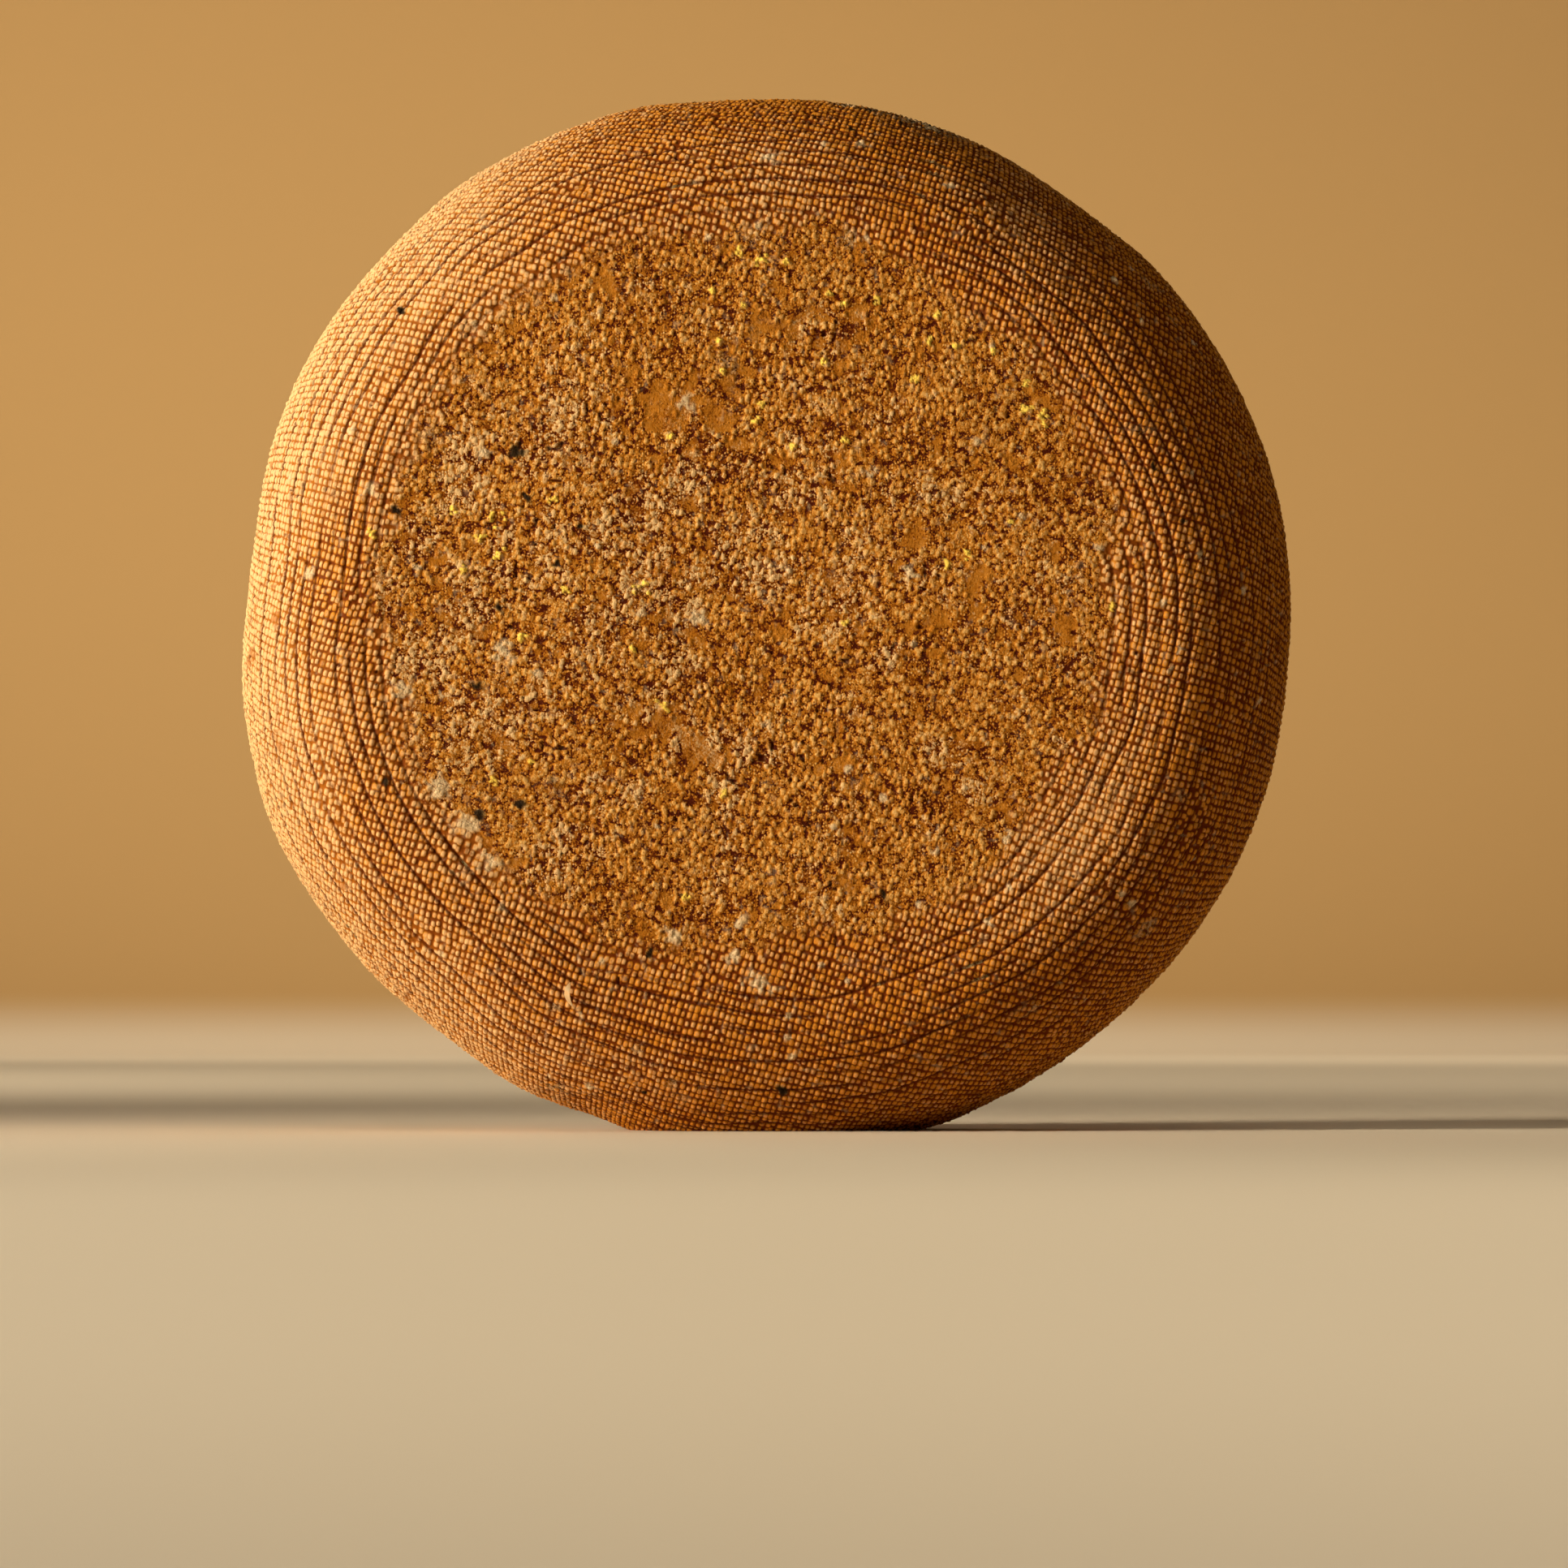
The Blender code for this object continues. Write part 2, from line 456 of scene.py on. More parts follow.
def rind(section, theta, path, relief):
    """Rise of the rind over the plain wheel, in millimetres, and what its material needs to know.

    The cloth lay flat on a face and was drawn over the rim, so a bead's place in the weave is the
    distance along the section, taken in its direction round the axle. Beads keep to the weave where
    the print is fresh and wander where mites have eaten it.
    """
    ground = placed(section, theta, path, np.zeros_like(path))
    back = path > section.total / 2
    ring = np.where(back, section.total - path, path)
    up = ground[..., 2] - section.height
    turn = np.where(back, relief.back_turn, relief.cloth_turn)

    # Where the print is fresh: outside a ring that lies off the middle, with a ragged edge. The belt
    # keeps relief off the line round the rim where the two cloths meet.
    edge = PRINT_EDGE + 7.0 * np.cos(theta - np.where(back, 5.1, 2.2))
    ragged = 4.5 * field(ground, 13.0, 21) + 3.0 * field(ground, 5.0, 22)
    fresh = smooth_step(-11.0, 6.0, ring - edge + ragged)
    belt = smooth_step(0.3, 2.4, np.abs(path - section.total / 2))
    worn = 0.35 * smooth_step(0.2, 0.7, field(ground, 9.0, 23))
    wander = np.clip(0.86 - 0.7 * fresh + worn * fresh, 0.0, 1.0)

    # Beads
    warp = 0.32 * field(ground, 17.0, 24) + 0.12 * field(ground, 5.0, 25)
    weft = 0.32 * field(ground, 17.0, 26) + 0.12 * field(ground, 5.0, 27)
    first_bead = np.where(back, BACK_WEAVE, 0.0)
    across = (ring * np.cos(theta - turn) / (relief.bead_across / MM)) + warp + first_bead
    along = (ring * np.sin(theta - turn) / (relief.bead_along / MM)) + weft
    away, number = beads(across, along, wander)
    print_bead = 1 - smooth_step(0.14, 0.56, away + 0.16 * ((number * 5) % 1 - 0.5))
    grain_bead = 1 - smooth_step(0.15, 0.58, away)

    # Grains stand singly or in heaps on the bare ground, and dust fills them in places
    smeared = 0.7 * np.exp(-((ground[..., 0] / 24) ** 2) - ((up - 50) / 14) ** 2)
    bare = smeared + field(ground, 8.0, 33) + 0.5 * field(ground, 2.4, 34)
    bare = smooth_step(0.3, 1.2, bare) * (1 - 0.6 * fresh)
    heap = 0.68 + 0.4 * field(ground, 3.6, 30) + 0.4 * field(ground, 1.7, 29) - 0.5 * bare
    there = smooth_step(0.8, 1.1, number + heap)
    powder = 0.42 + 0.55 * field(ground, 8.0, 31) - 0.35 * ground[..., 0] / 100 - 0.45 * (up / 75) ** 2
    powder = np.clip(powder, 0, 1)
    swing = number - 0.5
    printed = relief.bead_rise / MM * (print_bead * (1 + 0.3 * swing) - 0.55 + 0.3 * swing) * (1 - 0.7 * bare)
    grained = relief.grain_rise / MM * (grain_bead * there * (0.7 + 0.7 * swing) + 0.35 * heap - 0.3)
    grained += 0.08 * field(ground, 3.1, 35) + 0.05 * field(ground, 1.2, 36)
    grain = (printed * fresh + grained * (1 - fresh)) * belt

    # Creases start where the grain gives way to print. The rind near one dips with the exponential of
    # minus the distance from it, which leaves round ridges and sharp valleys.
    strong, lines = creases(theta, ring, ground, back, relief.crease_step / MM)
    near = np.exp(-np.abs(lines - np.round(lines)) / 0.14)
    strong = strong * belt * smooth_step(-8.0, 3.0, ring - edge + 0.5 * ragged)
    crease = strong * near
    swell = (
        0.4 * field(ground, 32.0, 41)
        + 0.3 * field(ground, 12.0, 42)
        + 0.08 * fresh * field(ground, 2.6, 43)
    )
    dish = section.dish * (1 - np.minimum(ring / section.face, 1) ** 2)

    # Pits, tufts and lumps
    pitted = smooth_step(0.2, 0.6, field(ground, 15.0, 52) + 0.1)
    pit = smooth_step(0.74, 0.88, field(ground, 1.2, 51)) * pitted
    tuft_places, tuft_sizes = white_tufts(section)
    ragged_place = ground + 0.5 * np.stack([field(ground, 1.1, 54 + n) for n in range(3)], -1)
    white = spots(ragged_place, tuft_places, np.ones(len(tuft_sizes)), tuft_sizes)
    white = smooth_step(0.3, 0.85, white + 0.6 * field(ground, 0.9, 53))
    lump_places, lump_sizes = yellow_lumps(section)
    yellow = spots(ground, lump_places, np.ones(len(lump_sizes)), lump_sizes)
    yellow = smooth_step(0.3, 0.6, yellow)
    spot_places, spot_sizes = dark_spots(section)
    dark = spots(ragged_place, spot_places, np.ones(len(spot_sizes)), spot_sizes)
    dark = smooth_step(0.25, 0.7, dark + 0.5 * field(ground, 0.8, 56))
    fouled = on_front(section, *np.array(FOULED_AT)[:, None])[0] + (0, FOULED_BEHIND, 0)
    fouled = np.exp(-((np.abs(ground - fouled) / FOULED_SIZE) ** 2).sum(-1))
    fouled = smooth_step(0.35, 0.9, fouled + 0.5 * field(ground, 8.0, 57) + 0.3 * field(ground, 3.0, 58))

    rise = swell - dish + grain
    rise -= relief.crease_depth / MM * (crease - 0.2 * strong) + 0.4 * pit
    rise += 0.16 * white + 0.26 * yellow

    # How pale the rind is, by where it lies on the wheel. A random tone and a drier, paler patch at the
    # lower right near the face's edge are the rind's own. The paler left side, most of all at its outer rim,
    # is painted light where the lamp falls, and the darker right side, bottom and outer rim away from the
    # left are painted shade.
    from_dry_side = (theta + math.pi) % (2 * math.pi) - math.pi + 0.5
    dry_side = np.exp(-(from_dry_side**2) / 0.5 - ((ring - 73) / 9) ** 2)
    from_axle = np.hypot(ground[..., 0], up)
    left = smooth_step(0.0, 75.0, -ground[..., 0]) - smooth_step(50.0, 85.0, ground[..., 0])
    outer = smooth_step(82.0, 97.0, from_axle)
    low = smooth_step(40.0, 95.0, -up)
    pale = 0.3 + 0.15 * left + 0.55 * left * outer + 0.22 * field(ground, 26.0, 61) + 0.28 * dry_side
    pale -= 0.25 * low + 0.3 * smooth_step(88.0, 97.0, from_axle) * (1 - np.maximum(left, 0))
    return {
        "rise": rise,
        "cells": np.stack([across, along, wander], -1),
        "marks": np.stack([pit, np.clip(heap, 0, 1.2), powder], -1),
        "mould": np.stack([yellow, white, lines], -1),
        "lay": np.stack([fresh, np.clip(pale, 0, 1), strong], -1),
        "stains": np.stack([dark, fouled, np.zeros_like(dark)], -1),
    }


# Meshes


def grid_normals(points):
    """Outward directions on a grid: the cross product of the steps to each point's neighbours."""
    down = np.gradient(points, axis=0)
    along = np.gradient(points, axis=1)
    normal = np.cross(down, along)
    return normal / np.linalg.norm(normal, axis=-1, keepdims=True)


def border(rows, columns):
    """Numbers of a grid's outer points, from its first corner along, down, back and up."""
    number = np.arange(rows * columns).reshape(rows, columns)
    return np.concatenate([number[0, :-1], number[:-1, -1], number[-1, :0:-1], number[:0:-1, 0]])


def rind_piece(name, mesh, material):
    """Puts a mesh into the scene as a piece of rind, in place of the plain wheel."""
    mesh.materials.append(material)
    piece = bpy.data.objects.new(name, mesh)
    bpy.context.scene.collection.objects.link(piece)
    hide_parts(NODE)
    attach(piece, BODY)


def grid_piece(name, points, normals, inwards, about, material):
    """A closed piece of rind from a grid of points.

    Behind the grid a wall runs straight in from its border, and a shallow cone from the wall's foot
    to one point closes it.
    """
    rows, columns = points.shape[:2]
    number = np.arange(rows * columns).reshape(rows, columns)
    quads = np.stack([number[:-1, :-1], number[1:, :-1], number[1:, 1:], number[:-1, 1:]], -1).reshape(-1, 4)
    rim = border(rows, columns)
    flat = points.reshape(-1, 3)
    foot = flat[rim] + inwards.reshape(-1, 3)[rim] * WALL
    tip = foot.mean(0) + inwards.reshape(-1, 3).mean(0) * WALL
    first = rows * columns
    feet = first + np.arange(len(rim))
    wall = np.stack([rim, np.roll(rim, -1), np.roll(feet, -1), feet], -1)
    cone = np.stack([feet, np.roll(feet, -1), np.full(len(rim), first + len(rim))], -1)

    mesh = bpy.data.meshes.new(name)
    everything = np.concatenate([flat, foot, tip[None]]) * MM
    mesh.from_pydata(everything, [], quads.tolist() + wall.tolist() + cone.tolist())
    across, down = np.meshgrid(np.linspace(0.01, 0.99, columns), np.linspace(0.03, 0.99, rows))
    sheet = np.stack([across, down], -1).reshape(-1, 2)[quads].reshape(-1, 2)
    strip = np.linspace(0.01, 0.99, len(rim) + 1)
    left, right = strip[:-1], strip[1:]
    wall_top, wall_foot, cone_edge, cone_tip = (np.full(len(rim), level) for level in UV_LEVELS)
    edge = np.stack([left, wall_top, right, wall_top, right, wall_foot, left, wall_foot], -1)
    fan = np.stack([left, cone_edge, right, cone_edge, (left + right) / 2, cone_tip], -1)
    layout = np.concatenate([sheet.ravel(), edge.ravel(), fan.ravel()])
    mesh.uv_layers.new(name="OFBake").uv.foreach_set("vector", layout.astype(np.float32))
    for key, values in about.items():
        hidden = np.repeat(values.reshape(-1, 3)[:1], len(rim) + 1, 0)
        attribute = mesh.attributes.new(key, "FLOAT_VECTOR", "POINT")
        attribute.data.foreach_set(
            "vector", np.concatenate([values.reshape(-1, 3), hidden]).astype(np.float32).ravel()
        )
    mesh.shade_smooth()
    loops = np.zeros((len(layout) // 2, 3), np.float32)
    loops[: quads.size] = normals.reshape(-1, 3)[quads.ravel()]
    mesh.normals_split_custom_set(loops)
    rind_piece(name, mesh, material)


def rim_band(section, relief, first, last):
    """Points, outward directions and facts of the rim, from its first to its last of these rows.

    The rows are even steps along the section between the faces' edges, and the columns even steps
    round the axle. A spare row and column on each side give the directions at the border.
    """
    step = (section.total - 2 * FACE_EDGE) / RIM_STEPS
    path = FACE_EDGE + step * np.arange(first - 1, last + 2)
    theta = np.arange(-1, STEPS_ROUND + 2) * 2 * math.pi / STEPS_ROUND
    theta, path = np.meshgrid(theta, path)
    about = rind(section, theta, path, relief)
    points = placed(section, theta, path, about.pop("rise"))
    normals = grid_normals(points)
    trim = (slice(1, -1), slice(1, -1))
    return {
        "points": points[trim],
        "normals": normals[trim],
        "inwards": inward(section, theta, path)[trim],
        "about": {key: values[trim] for key, values in about.items()},
    }


def inward(section, theta, path):
    """Direction straight into the cheese from each place of the plain wheel."""
    out, side = section.at(path)[2:]
    return -np.stack([out * np.cos(theta), side, out * np.sin(theta)], -1)


def face_disc(section, relief, back):
    """Points, outward directions and facts of one face.

    A square grid is bent onto the disc: rings of the square become circles, and each side of the
    square a quarter of the circle. Its edge takes its points from the rim's first or last row.
    """
    row = RIM_STEPS if back else 0
    band = rim_band(section, relief, row, row)
    line = np.linspace(-1, 1, FACE_STEPS + 1)
    a, b = np.meshgrid(line, line)
    wide = np.abs(a) > np.abs(b)
    safe_a, safe_b = np.where(wide, a, 1.0), np.where(wide | (b == 0), 1.0, b)
    reach = np.where(wide, a, b)
    angle = np.where(wide, math.pi / 4 * b / safe_a, math.pi / 2 - math.pi / 4 * a / safe_b)
    right, up = FACE_EDGE * reach * np.cos(angle), FACE_EDGE * reach * np.sin(angle)
    theta, ring = np.arctan2(up, right), np.hypot(right, up)
    path = section.total - ring if back else ring
    about = rind(section, theta, path, relief)
    points = placed(section, theta, path, about.pop("rise"))
    normals = grid_normals(points) * (1 if back else -1)

    column = np.round(theta / (2 * math.pi) * STEPS_ROUND).astype(int) % STEPS_ROUND
    on_edge = np.zeros(a.shape, bool)
    on_edge[[0, -1], :] = True
    on_edge[:, [0, -1]] = True
    points[on_edge] = band["points"][0, column[on_edge]]
    normals[on_edge] = band["normals"][0, column[on_edge]]
    for key, values in about.items():
        values[on_edge] = band["about"][key][0, column[on_edge]]
    return {"points": points, "normals": normals, "inwards": inward(section, theta, path), "about": about}


def cut(part, rows, columns):
    """Rows and columns of a grid with all that it carries."""
    window = (rows, columns)
    return (
        part["points"][window],
        part["normals"][window],
        part["inwards"][window],
        {key: values[window] for key, values in part["about"].items()},
    )


def sliver(section, about):
    """A curled sliver of rind, closed at both ends.

    Ellipses are carried along a path over the rind. Their width and the path's height over the rind
    follow the sine of half a turn, and the ellipses lean with the curl.
    """
    share = np.linspace(0, 1, SLIVER_STEPS + 1)
    right = np.interp(share, [0, 1], about["right"])
    up = np.interp(share, [0, 1], about["up"])
    base = on_front(section, right + about["bow"] * np.sin(math.pi * share), up)
    ahead = np.gradient(base, axis=0)
    ahead /= np.linalg.norm(ahead, axis=1, keepdims=True)
    outwards = np.array([0.0, -1.0, 0.0]) - ahead * -ahead[:, 1:2]
    outwards /= np.linalg.norm(outwards, axis=1, keepdims=True)
    beside = np.cross(outwards, ahead)
    middle = base + outwards * (about["foot"] + about["lift"] * np.sin(math.pi * share**0.8) ** 0.8)[:, None]
    width = about["width"] * (0.12 + 0.88 * np.sin(math.pi * share**0.75)) / 2
    turn = np.arange(SLIVER_AROUND) * 2 * math.pi / SLIVER_AROUND
    lean = about["lean"] * share[:, None]
    flat, thick = np.cos(turn) * width[:, None], np.sin(turn) * SLIVER_HALF
    bend = 0.35 * (flat**2) / max(about["width"], 0.1)
    sideways = flat * np.cos(lean) - (thick + bend) * np.sin(lean)
    outward = flat * np.sin(lean) + (thick + bend) * np.cos(lean)
    return middle[:, None] + beside[:, None] * sideways[..., None] + outwards[:, None] * outward[..., None]


def strip_piece(name, strips, material):
    """A piece of closed strips: quads along each strip, and a fan to a point at both its ends."""
    points, faces, first = [], [], 0
    for rings in strips:
        rows, around = rings.shape[:2]
        number = first + np.arange(rows * around).reshape(rows, around)
        beside = np.roll(number, -1, 1)
        quads = np.stack([number[:-1], beside[:-1], beside[1:], number[1:]], -1).reshape(-1, 4)
        ends = first + rows * around
        start = np.stack([np.full(around, ends), beside[0], number[0]], -1)
        end = np.stack([np.full(around, ends + 1), number[-1], beside[-1]], -1)
        points += [rings.reshape(-1, 3), rings[0].mean(0)[None], rings[-1].mean(0)[None]]
        faces += quads.tolist() + start.tolist() + end.tolist()
        first = ends + 2
    mesh = bpy.data.meshes.new(name)
    mesh.from_pydata(np.concatenate(points) * MM, [], faces)
    mesh.shade_smooth()
    rind_piece(name, mesh, material)


# Materials


def add(tree, kind, settings=None, inputs=None):
    """Adds a node, sets what it should be and fills its inputs with values or links."""
    made = tree.nodes.new(kind)
    for key, value in (settings or {}).items():
        setattr(made, key, value)
    for key, value in (inputs or {}).items():
        if isinstance(value, bpy.types.NodeSocket):
            tree.links.new(value, made.inputs[key])
        else:
            made.inputs[key].default_value = value
    return made


def new_material(name):
    """A material with its node tree and its shader."""
    material = bpy.data.materials.new(name)
    material.use_nodes = True
    return material, material.node_tree, material.node_tree.nodes["Principled BSDF"]


def to_a_metre(millimetres):
    """A pattern's scale: how many of its features of this size lie along a metre, to the nearest ten."""
    return round(1 / (millimetres * MM), -1)


def washed_rind(colours):
    """Natural cheese rind, washed with brine, printed by its pressing cloth and eaten by mites.

    Moist orange shows in the grooves, straw on the beads, and grains, crumbs and grey-beige dust lie
    on the golden ground of the faces. Some of the colour is painted light: lighter tops of beads and
    grains and a paler lit left side. Some is painted shade: darker crevices, creases and pits, and a
    darker right side, bottom and outer rim. All of it is matt, and what is moist a little less so.
    """
    material = bpy.data.materials.get("washed_rind")
    if material:
        return material
    material, tree, shader = new_material("washed_rind")

    def ramp(value, low, high, start=0.0, end=1.0, kind="SMOOTHSTEP"):
        keys = {"Value": value, 1: low, 2: high, 3: start, 4: end}
        return add(tree, "ShaderNodeMapRange", {"interpolation_type": kind}, keys).outputs[0]

    def math_of(operation, *values):
        return add(tree, "ShaderNodeMath", {"operation": operation}, dict(enumerate(values))).outputs[0]

    def blend(share, first, second):
        keys = {0: share, 6: first, 7: second}
        return add(tree, "ShaderNodeMix", {"data_type": "RGBA"}, keys).outputs[2]

    def palette(value, *stops):
        made = add(tree, "ShaderNodeValToRGB", inputs={0: value})
        for number, (position, colour) in enumerate(stops):
            spare = made.color_ramp.elements
            stop = spare[number] if number < 2 else spare.new(position)
            stop.position, stop.color = position, colour
        return made.outputs[0]

    def mottle(size, detail=3.0, rough=0.5):
        keys = {"Vector": place, "Scale": to_a_metre(size), "Detail": detail, "Roughness": rough}
        return add(tree, "ShaderNodeTexNoise", inputs=keys).outputs[0]

    def facts(name):
        vector = add(tree, "ShaderNodeAttribute", {"attribute_name": name}).outputs["Vector"]
        return vector, *add(tree, "ShaderNodeSeparateXYZ", inputs={0: vector}).outputs

    place = add(tree, "ShaderNodeTexCoord").outputs["Object"]
    cells, _, _, wander = facts("cells")
    _, pit, heap, powder = facts("marks")
    _, yellow, white, lines = facts("mould")
    # pale holds the rind's own tone together with painted light on the lit left side and painted shade on the
    # right side, the bottom and the outer rim. It makes beads straw, grooves honey and dust more, and crease
    # shade less.
    _, print_share, pale, strong = facts("lay")
    _, dark, fouled, _ = facts("stains")

    # Crumbs 0.5 mm and dust 0.4 mm across, and mottles over 3 mm
    crumb = add(tree, "ShaderNodeTexVoronoi", inputs={"Vector": place, "Scale": to_a_metre(0.5)}).outputs
    crumb_chance = add(tree, "ShaderNodeSeparateColor", inputs={0: crumb["Color"]}).outputs[0]
    dust = mottle(0.385, 3.0, 0.7)
    patch = mottle(3.03, 3.0, 0.6)

    # Beads of the cloth's print, and the grains that were beads, in the cells that shape the mesh too
    bead = add(
        tree,
        "ShaderNodeTexVoronoi",
        {"voronoi_dimensions": "2D", "distance": "MINKOWSKI"},
        {"Vector": cells, "Scale": 1.0, "Randomness": wander, "Exponent": 3.0},
    ).outputs
    chance = add(tree, "ShaderNodeSeparateColor", inputs={0: bead["Color"]}).outputs
    number = math_of("MULTIPLY_ADD", chance[0], 7.0, math_of("MULTIPLY", chance[1], 5.0))
    number = math_of("FRACT", number)
    own_size = math_of("FRACT", math_of("MULTIPLY", number, 5.0))
    sized = math_of("MULTIPLY_ADD", own_size, 0.16, bead["Distance"])
    sized = math_of("MULTIPLY_ADD", dust, 0.16, sized)
    sized = math_of("ADD", sized, math_of("MULTIPLY_ADD", pale, -0.08, -0.16))
    top = ramp(sized, 0.48, 0.24)
    crown = ramp(bead["Distance"], 0.5, 0.12)
    ringed = ramp(math_of("FRACT", math_of("MULTIPLY", number, 9.0)), 0.3, 0.6)
    dimple = math_of("MULTIPLY", ramp(bead["Distance"], 0.24, 0.1), ringed)

    # The print ends in patches
    fresh = ramp(math_of("MULTIPLY_ADD", patch, 0.9, print_share), 0.7, 1.0)

    # Printed rind: straw or amber beads with moist grooves between them. The straw is partly painted
    # highlight, lighter at the middle of each bead as on a lit dome, and partly painted light and shade
    # carried by pale.
    dry_and_lit = math_of("MULTIPLY_ADD", crown, 0.75, math_of("MULTIPLY", pale, 1.3))
    dry_and_lit = math_of("MULTIPLY_ADD", number, 0.45, dry_and_lit)
    flecks = math_of("MULTIPLY_ADD", dimple, -0.12, math_of("MULTIPLY_ADD", dust, 0.6, -0.3))
    dry_and_lit = math_of("ADD", flecks, dry_and_lit)
    dry_and_lit = math_of("ADD", patch, dry_and_lit)
    printed = blend(ramp(dry_and_lit, 1.2, 2.3), colours.amber, colours.straw)
    dusted = math_of("MULTIPLY", ramp(dust, 0.5, 0.7), math_of("MULTIPLY", pale, 0.45))
    printed = blend(dusted, printed, colours.powder)
    bloom = ramp(mottle(3.85, 6.0, 0.75), 0.54, 0.7)
    bloom = math_of("MULTIPLY", bloom, ramp(pale, 0.3, 0.9, 0.1, 0.7))
    printed = blend(math_of("MULTIPLY", bloom, ramp(dust, 0.35, 0.55, 0.3, 1.0)), printed, colours.powder)
    # Grooves go from groove to honey as pale rises, so they carry its painted light and painted shade.
    grooves = blend(ramp(math_of("MULTIPLY_ADD", patch, 0.5, pale), 0.5, 1.1), colours.groove, colours.honey)
    worn = ramp(mottle(4.17, 3.0, 0.6), 0.6, 0.68, 1.0, 0.35)
    printed = blend(math_of("MULTIPLY", top, worn), grooves, printed)

    # Grained rind: one scale of colour from the crevices to the tops of grains and crumbs, set by their
    # height. Besides the moist ground and the pale crumbs it is painted shade, darker down in the crevices,
    # the rifts and between the grains, and painted highlight, lighter on the tops.
    there = ramp(math_of("ADD", number, heap), 0.8, 1.1)
    dome = math_of("MULTIPLY", ramp(bead["Distance"], 0.62, 0.1), math_of("MULTIPLY_ADD", number, 0.4, 0.65))
    grain = math_of("MULTIPLY", there, math_of("MULTIPLY_ADD", dimple, -0.35, dome))
    crumb_there = ramp(math_of("ADD", crumb_chance, heap), 0.7, 1.0)
    crumb_rise = math_of("MULTIPLY_ADD", crumb_chance, 0.55, 0.45)
    crumb_dome = math_of("MULTIPLY", ramp(crumb["Distance"], 0.7, 0.12), crumb_rise)
    top_of = math_of("MAXIMUM", grain, math_of("MULTIPLY", crumb_dome, crumb_there))
    rift = ramp(mottle(1.11, 3.0, 0.7), 0.5, 0.4)
    lift = math_of("MULTIPLY_ADD", top_of, 0.85, math_of("MULTIPLY_ADD", rift, -0.42, -0.62))
    lift = math_of("ADD", lift, math_of("MULTIPLY_ADD", dust, 1.05, math_of("MULTIPLY", patch, 0.6)))
    smooth = math_of("MULTIPLY_ADD", dust, 0.9, math_of("MULTIPLY_ADD", patch, 0.6, -0.4))
    smooth = math_of("MULTIPLY_ADD", crumb_dome, 0.15, smooth)
    bare = ramp(heap, 0.4, 0.1)
    lift = math_of("ADD", lift, math_of("MULTIPLY", bare, math_of("SUBTRACT", smooth, lift)))
    grained = palette(
        lift,
        (0.0, colours.crease),
        (0.15, colours.groove),
        (0.32, colours.ground),
        (0.64, colours.grain),
        (0.97, colours.crumb),
    )

    # Dust on the tops in patches of about 2.5 mm
    pads = math_of("MULTIPLY_ADD", crumb_chance, 0.06, mottle(2.5, 6.0, 0.75))
    pads = math_of("MULTIPLY_ADD", powder, 0.2, pads)
    pads = math_of("MULTIPLY", ramp(pads, 0.63, 0.73), ramp(lift, 0.25, 0.65, 0.0, 0.8))
    grained = blend(pads, grained, colours.powder)

    # Creases of the cloth, a little under a millimetre wide, with grey mould in some of them. The groove
    # colour in them is moist rind and painted shade; the darker crease colour deep in them and in the pits
    # is painted shade, with less of it where the rind is pale.
    from_crease = math_of("MULTIPLY_ADD", dust, 0.1, math_of("PINGPONG", lines, 0.5))
    crease = math_of("MULTIPLY", ramp(from_crease, 0.23, 0.06), strong)
    shown = blend(fresh, grained, printed)
    shown = blend(math_of("MULTIPLY", crease, 0.9), shown, colours.groove)
    deep = math_of("MULTIPLY", ramp(crease, 0.6, 1.0, 0.0, 0.6), math_of("MULTIPLY_ADD", pale, -0.7, 1.0))
    # Painted shade: the crease colour deep in the creases and in the pits.
    shown = blend(math_of("MAXIMUM", deep, pit), shown, colours.crease)
    mouldy = math_of("MULTIPLY", ramp(mottle(11.1, 4.0), 0.64, 0.72), ramp(crease, 0.25, 0.5))
    shown = blend(math_of("MULTIPLY", mouldy, ramp(dust, 0.4, 0.55)), shown, colours.grey)
    shown = blend(math_of("MULTIPLY", white, ramp(dust, 0.35, 0.5, 0.3, 1.0)), shown, colours.white)
    shown = blend(yellow, shown, colours.yellow)
    foul = math_of("MULTIPLY", fouled, ramp(mottle(2.38, 4.0, 0.7), 0.43, 0.53))
    foul_tone = blend(ramp(mottle(1.25, 3.0, 0.7), 0.46, 0.56), colours.black, colours.powder)
    shown = blend(foul, shown, foul_tone)
    speck = math_of("MAXIMUM", ramp(mottle(3.33, 3.0, 0.7), 0.72, 0.75, 0.0, 0.8), dark)
    shown = blend(speck, shown, colours.black)
    tree.links.new(shown, shader.inputs["Base Color"])

    # Moist grooves and ground are smoother than the dry tops
    dryness = math_of("MAXIMUM", math_of("MULTIPLY", fresh, top), top_of)
    tree.links.new(ramp(dryness, 0.0, 1.0, 0.6, 0.85), shader.inputs["Roughness"])
    shader.inputs["Specular IOR Level"].default_value = 0.06

    # Height in millimetres that the mesh is too coarse to hold
    print_height = math_of("MULTIPLY_ADD", dust, 0.06, math_of("MULTIPLY", top, 0.08))
    print_height = math_of("MULTIPLY_ADD", dimple, -0.04, print_height)
    grain_height = math_of("MULTIPLY_ADD", top_of, 0.11, math_of("MULTIPLY", dust, 0.12))
    grain_height = math_of("MULTIPLY_ADD", rift, -0.08, grain_height)
    height = math_of("MULTIPLY", fresh, math_of("SUBTRACT", print_height, grain_height))
    height = math_of("ADD", grain_height, height)
    height = math_of("MULTIPLY_ADD", crease, -0.2, height)
    bump = add(tree, "ShaderNodeBump", inputs={"Strength": 1.0, "Distance": MM, "Height": height})
    tree.links.new(bump.outputs[0], shader.inputs["Normal"])
    return material


